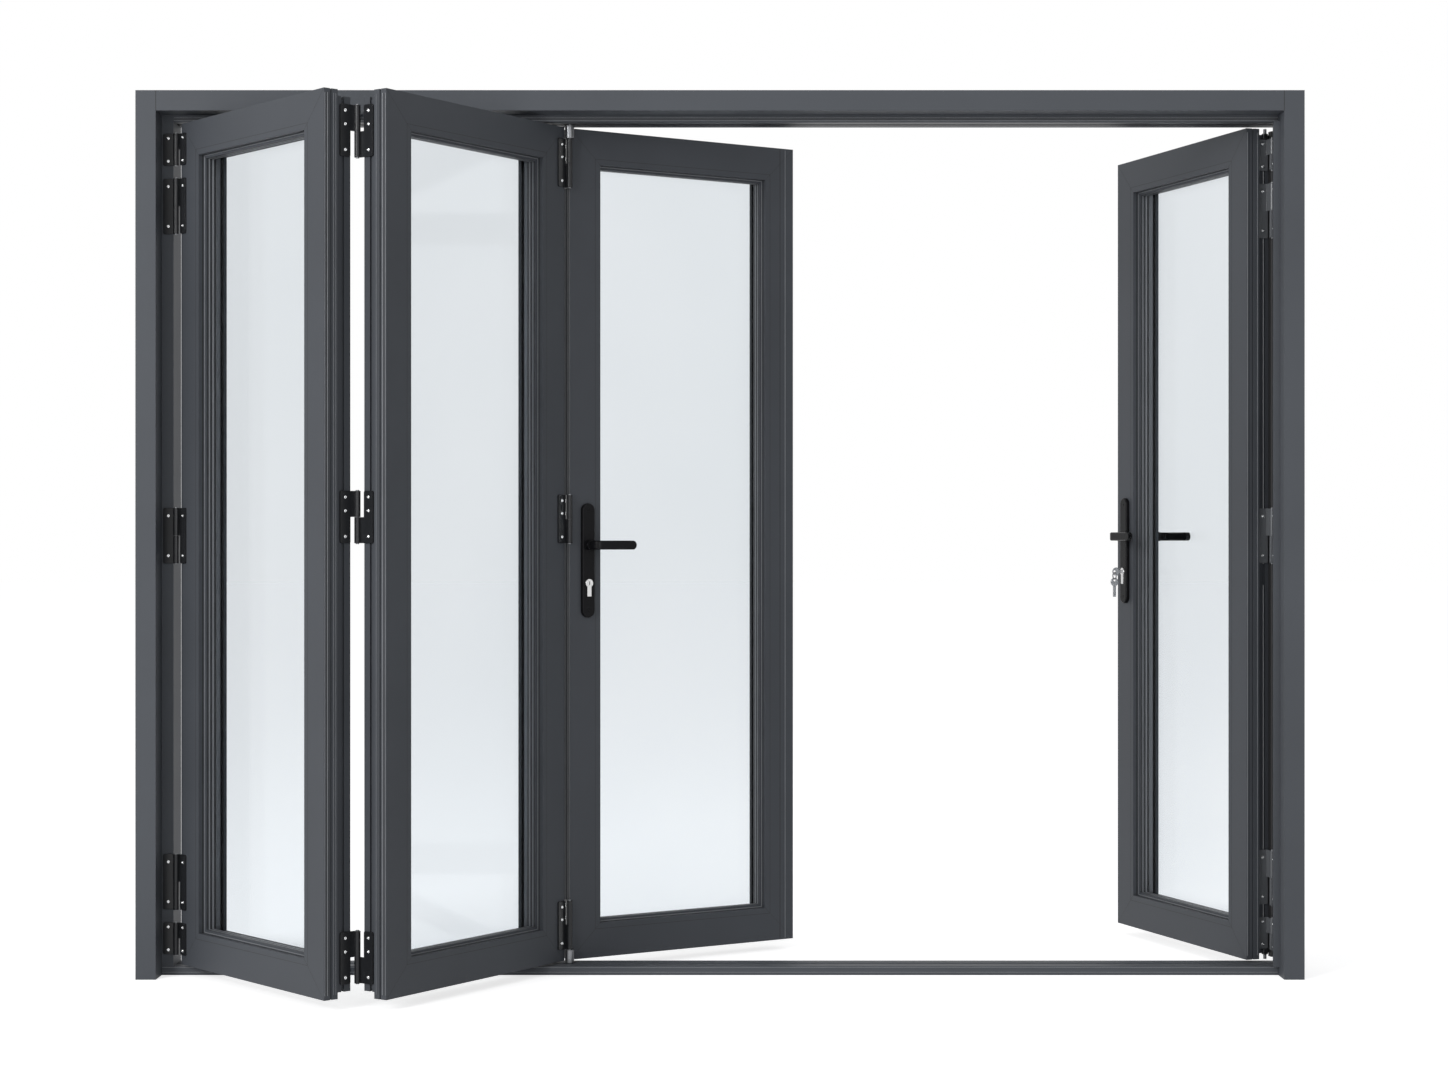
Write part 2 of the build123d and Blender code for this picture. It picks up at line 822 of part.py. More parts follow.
# Keys: one in the door's front lock, and one that hangs from the ring through its bow
lock_z = handle_height_door - lock_drop
key_root = -plate_depth - lock_proud
bow_y = key_root - key_shank - key_radius + key_overlap
hole_y = bow_y - key_hole_out
wire_top_z = lock_z - key_hole_radius + ring_wire + ring_slack
ring_z = wire_top_z - ring_radius
hung_hole_z = ring_z - ring_radius - key_hole_radius + ring_wire + ring_slack
hung_bow_z = hung_hole_z - key_hole_out
key_plane = end_plane(corner_door, -door_turn, handle_inset - key_thickness / 2)
ring_x, ring_y = leaf_point(corner_door, handle_inset, hole_y, -door_turn)
ring_plane = Plane(
    origin=(ring_x, ring_y, ring_z),
    x_dir=(*turned(1, 0, -door_turn), 0),
    z_dir=(*turned(0, -1, -door_turn), 0),
)
with BuildPart() as door_keys:
    with BuildSketch(key_plane):
        with Locations((bow_y, lock_z)):
            Circle(key_radius)
        with Locations((key_root, lock_z)):
            Rectangle(key_shank + key_overlap, key_blade_width, align=(Align.MAX, Align.CENTER))
        with Locations((hole_y, lock_z)):
            Circle(key_hole_radius, mode=Mode.SUBTRACT)
        with Locations((hole_y, hung_bow_z)):
            Circle(key_radius)
            Rectangle(
                key_blade_width,
                key_radius + key_blade_length,
                align=(Align.CENTER, Align.MAX),
            )
        with Locations((hole_y, hung_hole_z)):
            Circle(key_hole_radius, mode=Mode.SUBTRACT)
    extrude(amount=key_thickness)
    with BuildSketch(ring_plane):
        Circle(ring_radius + ring_wire)
        Circle(ring_radius - ring_wire, mode=Mode.SUBTRACT)
    extrude(amount=ring_wire, both=True)
write("door_keys", door_keys.part)
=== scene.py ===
# Folding door in a pale studio. Metres, X to the right, Y away from the viewer, Z up.
import json
import math
import bpy
import bmesh
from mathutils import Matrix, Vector


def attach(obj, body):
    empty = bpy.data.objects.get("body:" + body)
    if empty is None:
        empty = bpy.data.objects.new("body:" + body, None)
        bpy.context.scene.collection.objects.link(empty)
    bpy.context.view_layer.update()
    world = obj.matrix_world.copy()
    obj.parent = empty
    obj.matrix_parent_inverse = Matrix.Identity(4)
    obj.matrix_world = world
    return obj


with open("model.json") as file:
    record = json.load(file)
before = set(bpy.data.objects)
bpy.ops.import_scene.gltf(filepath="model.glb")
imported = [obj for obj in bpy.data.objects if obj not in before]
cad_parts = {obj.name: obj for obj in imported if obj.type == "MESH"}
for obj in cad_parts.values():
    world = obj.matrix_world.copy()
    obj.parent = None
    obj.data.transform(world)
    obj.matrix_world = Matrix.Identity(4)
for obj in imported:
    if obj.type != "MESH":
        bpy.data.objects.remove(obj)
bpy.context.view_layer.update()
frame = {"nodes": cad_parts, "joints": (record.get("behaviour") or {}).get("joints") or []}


class Place:
    """Axes of a leaf, from its front left corner: u along it, v through it to the back, z up.
    Without a leaf's node they start at the frame's origin."""

    def __init__(self, degrees, node=None):
        turn = math.radians(degrees)
        self.u = Vector((math.cos(turn), math.sin(turn), 0))
        self.v = Vector((-math.sin(turn), math.cos(turn), 0))
        self.z = Vector((0, 0, 1))
        self.o = Vector((0, 0, 0))
        if node:
            self.o = self.u * self.low(node, self.u) + self.v * self.low(node, self.v)

    def at(self, u, v, z):
        """The point at these distances along the axes."""
        return self.o + self.u * u + self.v * v + self.z * z

    def reaches(self, node, axis):
        """How far along an axis each corner of a CAD node's mesh lies."""
        return [(corner.co - self.o).dot(axis) for corner in frame["nodes"][node].data.vertices]

    def low(self, node, axis):
        """Where a CAD node begins along an axis, to the micrometre."""
        return round(min(self.reaches(node, axis)), 6)

    def high(self, node, axis):
        """Where a CAD node ends along an axis, to the micrometre."""
        return round(max(self.reaches(node, axis)), 6)


# Leaves: their turns out of the frame's plane, their axes and the bodies that carry them
TURNS = {"leaf_1": -49.4, "leaf_2": 56.0, "leaf_3": 31.5, "door": -70.2}
LEAVES = {name: Place(turn, f"{name}_stiles") for name, turn in TURNS.items()}
L1, L2, L3, DR = (LEAVES[name] for name in ("leaf_1", "leaf_2", "leaf_3", "door"))
BODIES = ("frame", "door")
BODY = {"leaf_1": "frame", "leaf_2": "frame", "leaf_3": "frame", "door": "door"}
WORLD = Place(0)

# Sizes that all leaves share
WIDTH = L1.high("leaf_1_stiles", L1.u)
DEPTH = L1.high("leaf_1_stiles", L1.v)
BOTTOM = L1.low("leaf_1_stiles", L1.z)
TOP = L1.high("leaf_1_stiles", L1.z)
MIDDLE = (BOTTOM + TOP) / 2
HALF_HEIGHT = (TOP - BOTTOM) / 2
FLANGE = 0.035      # depth of a leaf's wider front part
REBATE = 0.012      # how far its back part stands in from its ends
REAR_END = WIDTH - REBATE

# Glazing beads, panes and the spacer between them
BEAD_FACE = L1.low("leaf_1_beads", L1.u)
SIGHT = BEAD_FACE + 0.014       # inner edge of the beads' front
DEEP_SIGHT = SIGHT + 0.008      # inner edge of the beads behind their step
BEAD_STEP = 0.015               # depth of that step
PANE = 0.004
SPACER_WIDTH = 0.007
SPACER_FRONT = L1.low("leaf_1_glass", L1.v) + PANE
SPACER_BACK = L1.high("leaf_1_glass", L1.v) - PANE
SPACER_INSET = L1.low("leaf_1_seals", L1.u) + SPACER_WIDTH      # its face in the opening

# Outer frame
INNER_X = WORLD.high("head", WORLD.u)
HEAD_BOTTOM = WORLD.low("head", WORLD.z)
HEAD_TOP = WORLD.high("head", WORLD.z)
FRONT_Y = WORLD.low("head", WORLD.v)
STEP_X = WORLD.high("jamb_left", WORLD.u)
STEP_Y = WORLD.low("sill", WORLD.v)
CASING_FACE = 0.048


# Materials
def material(name, colour, roughness, metallic=0.0, grain=0.0, vary=0.0, shine=0.5):
    """A surface with fine grain in its relief and slight patches in its colour and gloss."""
    m = bpy.data.materials.new(name)
    m.use_nodes = True
    nt = m.node_tree
    bsdf = nt.nodes["Principled BSDF"]
    bsdf.inputs["Metallic"].default_value = metallic
    bsdf.inputs["Specular IOR Level"].default_value = shine
    coords = nt.nodes.new("ShaderNodeTexCoord")
    patch = nt.nodes.new("ShaderNodeTexNoise")
    patch.inputs["Scale"].default_value = 4.0
    patch.inputs["Detail"].default_value = 3.0
    nt.links.new(coords.outputs["Object"], patch.inputs["Vector"])
    dark = [c * (1 - vary) for c in colour]
    light = [min(1.0, c * (1 + vary)) for c in colour]
    tone = two_tones(nt, patch, dark, light)
    nt.links.new(tone.outputs["Color"], bsdf.inputs["Base Color"])
    rough = nt.nodes.new("ShaderNodeMapRange")
    rough.inputs["To Min"].default_value = max(0.02, roughness - 0.05)
    rough.inputs["To Max"].default_value = roughness + 0.05
    nt.links.new(patch.outputs["Fac"], rough.inputs["Value"])
    nt.links.new(rough.outputs["Result"], bsdf.inputs["Roughness"])
    if grain:
        relief = grain_relief(nt, coords, grain)
        nt.links.new(relief.outputs["Normal"], bsdf.inputs["Normal"])
    return m


def two_tones(nt, noise, dark, light):
    """A colour that goes from dark to light with a noise."""
    ramp = nt.nodes.new("ShaderNodeValToRGB")
    ramp.color_ramp.elements[0].position = 0.3
    ramp.color_ramp.elements[0].color = (*dark, 1)
    ramp.color_ramp.elements[1].position = 0.7
    ramp.color_ramp.elements[1].color = (*light, 1)
    nt.links.new(noise.outputs["Fac"], ramp.inputs["Fac"])
    return ramp


def grain_relief(nt, coords, strength):
    """Fine grain on the surface, with slightly rounded edges under it."""
    fine = nt.nodes.new("ShaderNodeTexNoise")
    fine.inputs["Scale"].default_value = 900.0
    fine.inputs["Detail"].default_value = 2.0
    nt.links.new(coords.outputs["Object"], fine.inputs["Vector"])
    bump = nt.nodes.new("ShaderNodeBump")
    bump.inputs["Strength"].default_value = strength
    bump.inputs["Distance"].default_value = 0.0003
    nt.links.new(fine.outputs["Fac"], bump.inputs["Height"])
    edge = nt.nodes.new("ShaderNodeBevel")
    edge.samples = 4
    edge.inputs["Radius"].default_value = 0.0012
    nt.links.new(edge.outputs["Normal"], bump.inputs["Normal"])
    return bump


def pane_glass():
    """Glass that lets tinted light through and mirrors more the flatter it is seen."""
    m = bpy.data.materials.new("pane_glass")
    m.use_nodes = True
    nt = m.node_tree
    nt.nodes.remove(nt.nodes["Principled BSDF"])
    coords = nt.nodes.new("ShaderNodeTexCoord")
    noise = nt.nodes.new("ShaderNodeTexNoise")
    noise.inputs["Scale"].default_value = 1.3
    nt.links.new(coords.outputs["Object"], noise.inputs["Vector"])
    tint = two_tones(nt, noise, (0.928, 0.940, 0.949), (0.941, 0.951, 0.959))
    through = nt.nodes.new("ShaderNodeBsdfTransparent")
    nt.links.new(tint.outputs["Color"], through.inputs["Color"])
    mirror = nt.nodes.new("ShaderNodeBsdfGlossy")
    mirror.inputs["Roughness"].default_value = 0.05
    slant = nt.nodes.new("ShaderNodeLayerWeight")
    slant.inputs["Blend"].default_value = 0.35
    faint = nt.nodes.new("ShaderNodeMapRange")
    faint.inputs["To Min"].default_value = 0.008
    faint.inputs["To Max"].default_value = 0.060
    nt.links.new(slant.outputs["Facing"], faint.inputs["Value"])
    mix = nt.nodes.new("ShaderNodeMixShader")
    nt.links.new(faint.outputs["Result"], mix.inputs["Fac"])
    nt.links.new(through.outputs["BSDF"], mix.inputs[1])
    nt.links.new(mirror.outputs["BSDF"], mix.inputs[2])
    nt.links.new(mix.outputs["Shader"], nt.nodes["Material Output"].inputs["Surface"])
    return m


coat = material("powder_coat", (0.054, 0.059, 0.068), 0.52, grain=0.12, vary=0.06, shine=0.22)
casing = material("casing_coat", (0.063, 0.069, 0.079), 0.56, grain=0.12, vary=0.06, shine=0.24)
black = material("black_hardware", (0.006, 0.006, 0.007), 0.28, grain=0.05, vary=0.1, shine=0.10)
knuckle = material("hinge_black", (0.014, 0.015, 0.017), 0.24, grain=0.04, vary=0.1, shine=0.28)
# Partly the plates' own grey and partly painted light: lighter than the powder coat to make up for the
# shade between the door's edge and the jamb.
hinge_grey_with_painted_light = material("hinge_grey_with_painted_light", (0.105, 0.111, 0.120), 0.26, grain=0.04, vary=0.08, shine=0.45)
steel = material("dull_steel", (0.20, 0.205, 0.215), 0.34, metallic=1.0, grain=0.05, vary=0.08)
bright = material("screw_steel", (0.80, 0.81, 0.82), 0.18, metallic=1.0, grain=0.02, vary=0.05)
nickel = material("satin_nickel", (0.66, 0.66, 0.66), 0.24, metallic=1.0, grain=0.03, vary=0.06)
# A darker copy of the satin nickel for the keys: painted shade, in place of the darker surroundings that
# they mirror.
key_nickel_with_painted_shade = material("key_nickel_with_painted_shade", (0.33, 0.33, 0.34), 0.26, metallic=1.0, grain=0.03, vary=0.08)
rubber = material("gasket", (0.010, 0.010, 0.011), 0.60, grain=0.08, vary=0.1)
track = material("track_metal", (0.030, 0.032, 0.035), 0.38, metallic=0.4, grain=0.05, vary=0.08)
# Much lighter than the powder coat: painted highlights on the raised ribs along the profiles' edges,
# grooves and steps.
painted_highlight_coat = material("rib_coat_painted_highlight", (0.165, 0.173, 0.187), 0.32, grain=0.06, vary=0.06)
spacer = material("spacer_metal", (0.15, 0.155, 0.165), 0.45, metallic=1.0, grain=0.05, vary=0.06)
# Dark lines: real joints at the mitres, the beads and the casing, and painted shade in the profiles'
# grooves, at the beads' steps and in the key slots.
line = material("joint_line_and_painted_shade", (0.014, 0.015, 0.016), 0.70, vary=0.1)
glass = pane_glass()


def finish_of(node):
    """The material of a CAD node, from its name."""
    if node.endswith("_glass"):
        return glass
    if node.endswith("_seals"):
        return rubber
    if node in ("door_hinges", "jamb_right_hinges"):
        return hinge_grey_with_painted_light
    if node.endswith("_hinges"):
        return knuckle
    if node.endswith(("_handle_plates", "_levers")):
        return black
    if node.endswith("_lock"):
        return nickel
    if node == "door_keys":
        return key_nickel_with_painted_shade
    if node.endswith("_pins") or node in ("track_carriage", "bottom_guide", "door_shoot_bolts"):
        return steel
    if node == "head_track":
        return track
    if node in ("jamb_left", "jamb_right", "head", "sill"):
        return casing
    return coat


for node, obj in frame["nodes"].items():
    obj.data.materials.clear()
    obj.data.materials.append(finish_of(node))


# Small pieces, gathered into one mesh for each body and finish
def new_piece(name, bm, mat, body):
    """Turns a finished bmesh into an object that rides on a body."""
    mesh = bpy.data.meshes.new(name)
    bmesh.ops.recalc_face_normals(bm, faces=bm.faces)
    bm.to_mesh(mesh)
    bm.free()
    obj = bpy.data.objects.new(name, mesh)
    bpy.context.scene.collection.objects.link(obj)
    mesh.materials.append(mat)
    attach(obj, body)


def join_rings(bm, low, high):
    """Closes the wall between two rings of the same number of corners."""
    for i in range(len(low)):
        j = (i + 1) % len(low)
        bm.faces.new((low[i], low[j], high[j], high[i]))


def add_turned(bm, centre, normal, profile, segments=18):
    """Revolves a profile of (radius, height) about a normal through a centre."""
    n = normal.normalized()
    side = Vector((0, 0, 1)) if abs(n.z) < 0.9 else Vector((1, 0, 0))
    a = n.cross(side).normalized()
    b = n.cross(a).normalized()
    rings = []
    for r, h in profile:
        ring = []
        for i in range(segments):
            t = 2 * math.pi * i / segments
            ring.append(bm.verts.new(centre + n * h + (a * math.cos(t) + b * math.sin(t)) * r))
        rings.append(ring)
    for low, high in zip(rings, rings[1:]):
        join_rings(bm, low, high)
    bm.faces.new(rings[0])
    bm.faces.new(rings[-1])


def add_strip(bm, start, end, across, out, width, proud):
    """A thin raised strip from start to end, width wide along across, proud along out."""
    a = across.normalized() * width / 2
    o = out.normalized() * proud
    base = [start - a, start + a, end + a, end - a]
    low = [bm.verts.new(p - o) for p in base]
    high = [bm.verts.new(p + o) for p in base]
    bm.faces.new(low)
    bm.faces.new(high)
    join_rings(bm, low, high)


def add_rib(bm, start, end, across, out, width, proud):
    """A low rounded ridge from start to end, standing proud of a face along out."""
    a = across.normalized() * width / 2
    o = out.normalized()
    shoulder, sunk = proud * 0.6, -0.0001
    half = [(0.45, proud), (0.85, shoulder), (1.0, sunk)]
    shape = [(-s, h) for s, h in reversed(half)] + half
    low = [bm.verts.new(start + a * s + o * h) for s, h in shape]
    high = [bm.verts.new(end + a * s + o * h) for s, h in shape]
    bm.faces.new(low)
    bm.faces.new(high)
    join_rings(bm, low, high)


def leaves_on(body):
    """The axes of the leaves that ride on a body."""
    return [place for name, place in LEAVES.items() if BODY[name] == body]


def opening_sides(place, inset, v):
    """The sides of a rectangle inset from a leaf's outline: two ends and the way inward."""
    low, high, left, right = BOTTOM + inset, TOP - inset, inset, WIDTH - inset
    return [
        (place.at(left, v, low), place.at(left, v, high), place.u),
        (place.at(right, v, low), place.at(right, v, high), -place.u),
        (place.at(left, v, low), place.at(right, v, low), place.z),
        (place.at(left, v, high), place.at(right, v, high), -place.z),
    ]


# Screws on the hinge plates: their profile, and their places as shares of a plate's height
SCREW = [
    (0.0039, 0.0), (0.0039, 0.0005), (0.0034, 0.0012), (0.0024, 0.0016),
    (0.0017, 0.0016), (0.0015, 0.0006), (0.0002, 0.0005),
]
TWO_SPOTS = (0.14, 0.86)
THREE_SPOTS = (0.13, 0.62, 0.88)


def three_plates(height, inset, rise):
    """Plates near both ends and the middle of the leaves: (middle above theirs, height) of each."""
    return [(inset - HALF_HEIGHT, height), (rise, height), (HALF_HEIGHT - inset, height)]


# Hinge plates at the jambs, with smaller pivot plates beyond them, and between the leaves
HINGE_METAL = 0.004
JAMB_PLATE, LEAF_PLATE = 0.024, 0.026
PIVOT_HEIGHT, PIVOT_INSET = 0.076, 0.0615
PIVOT_ROWS = [(PIVOT_INSET - HALF_HEIGHT, PIVOT_HEIGHT), (HALF_HEIGHT - PIVOT_INSET, PIVOT_HEIGHT)]
JAMB_ROWS = three_plates(height=0.132, inset=0.1965, rise=0.020) + PIVOT_ROWS
LEAF_ROWS = three_plates(height=0.116, inset=0.0865, rise=0.060)


def jamb_side_plates():
    """Plates at the two jambs: body, axes, u and v of their middles, and the way they face."""
    half = JAMB_PLATE / 2
    return [
        ("frame", WORLD, WORLD.low("jamb_left_hinges", WORLD.u) + half, STEP_Y - HINGE_METAL, -WORLD.v),
        ("frame", L1, L1.high("leaf_1_jamb_hinges", L1.u) - half, -HINGE_METAL, -L1.v),
        ("frame", WORLD, INNER_X - HINGE_METAL, WORLD.low("jamb_right_hinges", WORLD.v) + half, -WORLD.u),
        ("door", DR, REAR_END + HINGE_METAL, DR.low("door_hinges", DR.v) + half, DR.u),
    ]


def between_leaves_plates():
    """Plates between leaves 1 and 2 and between leaves 2 and 3, in the same terms."""
    half = LEAF_PLATE / 2
    return [
        ("frame", L1, REAR_END + HINGE_METAL, L1.low("leaf_1_knee_hinges", L1.v) + half, L1.u),
        ("frame", L2, REBATE - HINGE_METAL, L2.low("leaf_2_knee_hinges", L2.v) + half, -L2.u),
        ("frame", L2, L2.low("leaf_2_fold_hinges", L2.u) + half, -HINGE_METAL, -L2.v),
        ("frame", L3, -HINGE_METAL, L3.high("leaf_3_fold_hinges", L3.v) - half, -L3.u),
    ]


def hinge_screws():
    """Domed screws with a recess, in every hinge plate."""
    plates = [(*plate, JAMB_ROWS, TWO_SPOTS) for plate in jamb_side_plates()]
    plates += [(*plate, LEAF_ROWS, THREE_SPOTS) for plate in between_leaves_plates()]
    for body in BODIES:
        bm = bmesh.new()
        for owner, place, u, v, out, rows, spots in plates:
            if owner != body:
                continue
            for rise, height in rows:
                for spot in spots:
                    z = MIDDLE + rise - height / 2 + height * spot
                    add_turned(bm, place.at(u, v, z), out, SCREW)
        new_piece(f"{body}_hinge_screws", bm, bright, body)


hinge_screws()


# Hairlines: mitres at every corner, and the joint round the glazing beads
MITRE_WIDTH, MITRE_PROUD = 0.0006, 0.00008
JOINT_WIDTH, JOINT_PROUD = 0.0009, 0.0001


def add_mitres(bm, place):
    """Hairlines across a leaf's corners, front and back, from the outline to the beads' edge."""
    for edge, inward in ((TOP, -1), (BOTTOM, 1)):
        for side in (1, -1):
            across = place.u * side - place.z * inward
            for v, out, first, last in ((0.0, -place.v, 0.0, SIGHT), (DEPTH, place.v, REBATE, SIGHT)):
                start, end = (
                    place.at(inset if side > 0 else WIDTH - inset, v, edge + inward * inset)
                    for inset in (first, last)
                )
                add_strip(bm, start, end, across, out, MITRE_WIDTH, MITRE_PROUD)


def joint_lines():
    """The hairlines of all leaves."""
    for body in BODIES:
        bm = bmesh.new()
        for place in leaves_on(body):
            add_mitres(bm, place)
            for start, end, inward in opening_sides(place, BEAD_FACE, 0):
                add_strip(bm, start, end, inward, -place.v, JOINT_WIDTH, JOINT_PROUD)
        new_piece(f"{body}_joint_lines", bm, line, body)


joint_lines()


# Ridges as extruded profiles have them, coloured lighter as painted highlights, and dark strips as
# painted shade in their grooves. On the leaves' edges each leaf has the place of the edge along u, then
# its ridges and its dark strips as (distance behind the face, width).
GROOVE_SHADE_PROUD = 0.00012
EDGE_RIDGE_PROUD = 0.0007
EDGE_CLEAR = 0.010
EDGES = {
    "leaf_1": (
        WIDTH,
        ((0.0022, 0.0016), (0.0090, 0.0022), (0.0245, 0.0010), (0.0300, 0.0010)),
        ((0.0055, 0.0020), (0.0125, 0.0016)),
    ),
    "leaf_2": (
        0.0,
        ((0.0022, 0.0016), (0.0110, 0.0024), (0.0290, 0.0010)),
        ((0.0065, 0.0024), (0.0240, 0.0014)),
    ),
    "leaf_3": (
        0.0,
        ((0.0022, 0.0016), (0.0100, 0.0016), (0.0290, 0.0012)),
        ((0.0060, 0.0020),),
    ),
    "door": (
        WIDTH,
        ((0.0024, 0.0024), (0.0300, 0.0014)),
        ((0.0070, 0.0018),),
    ),
}


def edge_relief(name, end_u, rows, finish, proud, tag):
    """The ribs of one kind down one leaf's edge: ridges coloured lighter as painted highlights, and in a
    second call dark strips as painted shade in its grooves.
    """
    place = LEAVES[name]
    out = place.u if end_u > 0 else -place.u
    bm = bmesh.new()
    for v, width in rows:
        start, end = place.at(end_u, v, BOTTOM + EDGE_CLEAR), place.at(end_u, v, TOP - EDGE_CLEAR)
        add_rib(bm, start, end, place.v, out, width, proud)
    new_piece(f"{name}_edge_{tag}", bm, finish, BODY[name])


# Ridges in the lighter colour of painted highlights, and dark strips of painted shade in the grooves.
for name, (end_u, ridges, groove_shades) in EDGES.items():
    edge_relief(name, end_u, ridges, painted_highlight_coat, EDGE_RIDGE_PROUD, "ridges")
    edge_relief(name, end_u, groove_shades, line, GROOVE_SHADE_PROUD, "groove_shades")


# Relief of the glazing beads, with ridges coloured lighter as painted highlights and dark strips as
# painted shade at their steps: (inset from the leaf's outline, distance behind its face, width)
BEAD_RIDGES = [(DEEP_SIGHT, 0.0245, 0.0028), (DEEP_SIGHT, 0.0345, 0.0040)]
BEAD_GROOVE_SHADES = [(SIGHT, 0.0105, 0.0030), (DEEP_SIGHT, 0.0195, 0.0030), (DEEP_SIGHT, 0.0290, 0.0026)]
BEAD_RIDGE_PROUD = 0.0006
STEP_RIDGE_INSET, STEP_RIDGE_WIDTH = SIGHT + 0.0018, 0.0026


def add_returns(bm, place, inset, v, width, proud):
    """Ribs on the four faces that look into a leaf's opening."""
    for start, end, inward in opening_sides(place, inset, v):
        add_rib(bm, start, end, place.v, inward, width, proud)


def bead_ridges(body):
    """Ridges on the beads' returns and on their step, coloured lighter as painted highlights."""
    bm = bmesh.new()
    for place in leaves_on(body):
        for inset, v, width in BEAD_RIDGES:
            add_returns(bm, place, inset, v, width, BEAD_RIDGE_PROUD)
        for start, end, inward in opening_sides(place, STEP_RIDGE_INSET, BEAD_STEP):
            add_rib(bm, start, end, inward, -place.v, STEP_RIDGE_WIDTH, BEAD_RIDGE_PROUD)
    new_piece(f"{body}_bead_ridges", bm, painted_highlight_coat, body)


def bead_groove_shades(body):
    """Dark strips on the beads' returns, painting the shade at their steps."""
    bm = bmesh.new()
    for place in leaves_on(body):
        for inset, v, width in BEAD_GROOVE_SHADES:
            add_returns(bm, place, inset, v, width, GROOVE_SHADE_PROUD)
    new_piece(f"{body}_bead_groove_shades", bm, line, body)


for body in BODIES:
    bead_ridges(body)
    bead_groove_shades(body)


def spacer_faces(body):
    """The spacer's bright face, seen between the panes of each leaf."""
    free = 0.003
    middle, width = (SPACER_FRONT + SPACER_BACK) / 2, SPACER_BACK - SPACER_FRONT - free
    bm = bmesh.new()
    for place in leaves_on(body):
        add_returns(bm, place, SPACER_INSET, middle, width, proud=0.0004)
    new_piece(f"{body}_spacer_faces", bm, spacer, body)


for body in BODIES:
    spacer_faces(body)


# Relief of the lead leaf's meeting strip, of the head's lower edge and of the sill's front
END_CLEAR = 0.004
SIDE_CLEAR = 0.001


def add_meeting_rib(bm, from_edge, width, proud):
    """A rib down the front of leaf 3, near its free edge."""
    u = WIDTH - from_edge
    start, end = L3.at(u, 0, BOTTOM + END_CLEAR), L3.at(u, 0, TOP - END_CLEAR)
    add_rib(bm, start, end, L3.u, -L3.v, width, proud)


def add_level_rib(bm, left, height, width, proud):
    """A level rib on the frame's set-back face, from its left end to the right jamb."""
    start, end = (WORLD.at(x, STEP_Y, height) for x in (left + SIDE_CLEAR, INNER_X - SIDE_CLEAR))
    add_rib(bm, start, end, WORLD.z, -WORLD.v, width, proud)


def profile_ridges():
    """The raised lines on the strip, the head and the sill, coloured lighter as painted highlights."""
    bm = bmesh.new()
    add_meeting_rib(bm, from_edge=0.0236, width=0.0020, proud=0.0006)
    for rise in (0.0035, 0.0095):
        add_level_rib(bm, STEP_X, HEAD_BOTTOM + rise, width=0.0016, proud=0.0006)
    for height in (0.0070, 0.0185):
        add_level_rib(bm, -INNER_X, height, width=0.0016, proud=0.0005)
    new_piece("profile_ridges", bm, painted_highlight_coat, "frame")


def profile_groove_shades():
    """The dark lines on the strip and the head, painting the shade in their grooves."""
    bm = bmesh.new()
    add_meeting_rib(bm, from_edge=0.0390, width=0.0024, proud=GROOVE_SHADE_PROUD)
    add_level_rib(bm, STEP_X, HEAD_BOTTOM + 0.0065, width=0.0022, proud=GROOVE_SHADE_PROUD)
    new_piece("profile_groove_shades", bm, line, "frame")


profile_ridges()
profile_groove_shades()


def bolt_rods():
    """Rods of the shoot bolts, in the groove down the door's hinge edge."""
    sunk, end_inset = 0.0024, 0.024
    gap_low, gap_high = 0.930, 0.980
    radius, tip_radius, taper = 0.0021, 0.0012, 0.0009
    groove_middle = (FLANGE + DEPTH) / 2
    bm = bmesh.new()
    for low, high in ((BOTTOM + end_inset, gap_low), (gap_high, TOP - end_inset)):
        length = high - low
        rod = [(tip_radius, 0.0), (radius, taper), (radius, length - taper), (tip_radius, length)]
        add_turned(bm, DR.at(REAR_END - sunk, groove_middle, low), DR.z, rod, segments=12)
    new_piece("door_bolt_rods", bm, steel, "door")


def edge_seal():
    """A soft lip down the door's hinge edge, behind the hinges.
    Its outline is given as (distance out from the edge, distance behind the door's face)."""
    lip = [(0.0, 0.0675), (0.0055, 0.0680), (0.0115, 0.0672), (0.0152, 0.0690),
           (0.0156, 0.0708), (0.0125, 0.0722), (0.0060, 0.0716), (0.0, 0.0722)]
    bm = bmesh.new()
    low, high = (
        [bm.verts.new(DR.at(REAR_END + out, v, z)) for out, v in lip]
        for z in (BOTTOM + END_CLEAR, TOP - END_CLEAR)
    )
    bm.faces.new(low)
    bm.faces.new(high)
    join_rings(bm, low, high)
    new_piece("door_edge_seal", bm, rubber, "door")


def casing_joints():
    """Joints between the casing's head and jambs."""
    bm = bmesh.new()
    for x in (-INNER_X, INNER_X):
        start, end = (WORLD.at(x, FRONT_Y, z) for z in (HEAD_TOP - CASING_FACE, HEAD_TOP))
        add_strip(bm, start, end, WORLD.u, -WORLD.v, width=0.0018, proud=0.0001)
    new_piece("casing_joint_lines", bm, line, "frame")


bolt_rods()
edge_seal()
casing_joints()


# Fronts of the cylinders, and screw caps on the handle plates. The drops are below the levers.
HANDLE_INSET = 0.046
PLATE_PROUD, LOCK_PROUD = 0.010, 0.013
PLATE_DROP, LOCK_DROP = 0.037, 0.092
CAP_SPREAD = 0.120
PLUG = [(0.0078, 0.0), (0.0078, 0.0006), (0.0072, 0.0010), (0.0066, 0.0006), (0.0004, 0.0006)]
CAP = [(0.0034, 0.0), (0.0034, 0.0003), (0.0028, 0.0006),
       (0.0012, 0.0006), (0.0011, 0.0002), (0.0002, 0.0002)]
SLOT_REACH, SLOT_OUT, SLOT_WIDTH, SLOT_PROUD = 0.0042, 0.0007, 0.0018, 0.0002


def lever_height(name):
    """The height of a leaf's levers, from the joint they turn on."""
    joint = next(j for j in frame["joints"] if j["name"] == f"{name}_lever_turn")
    return joint["pos_m"][2]


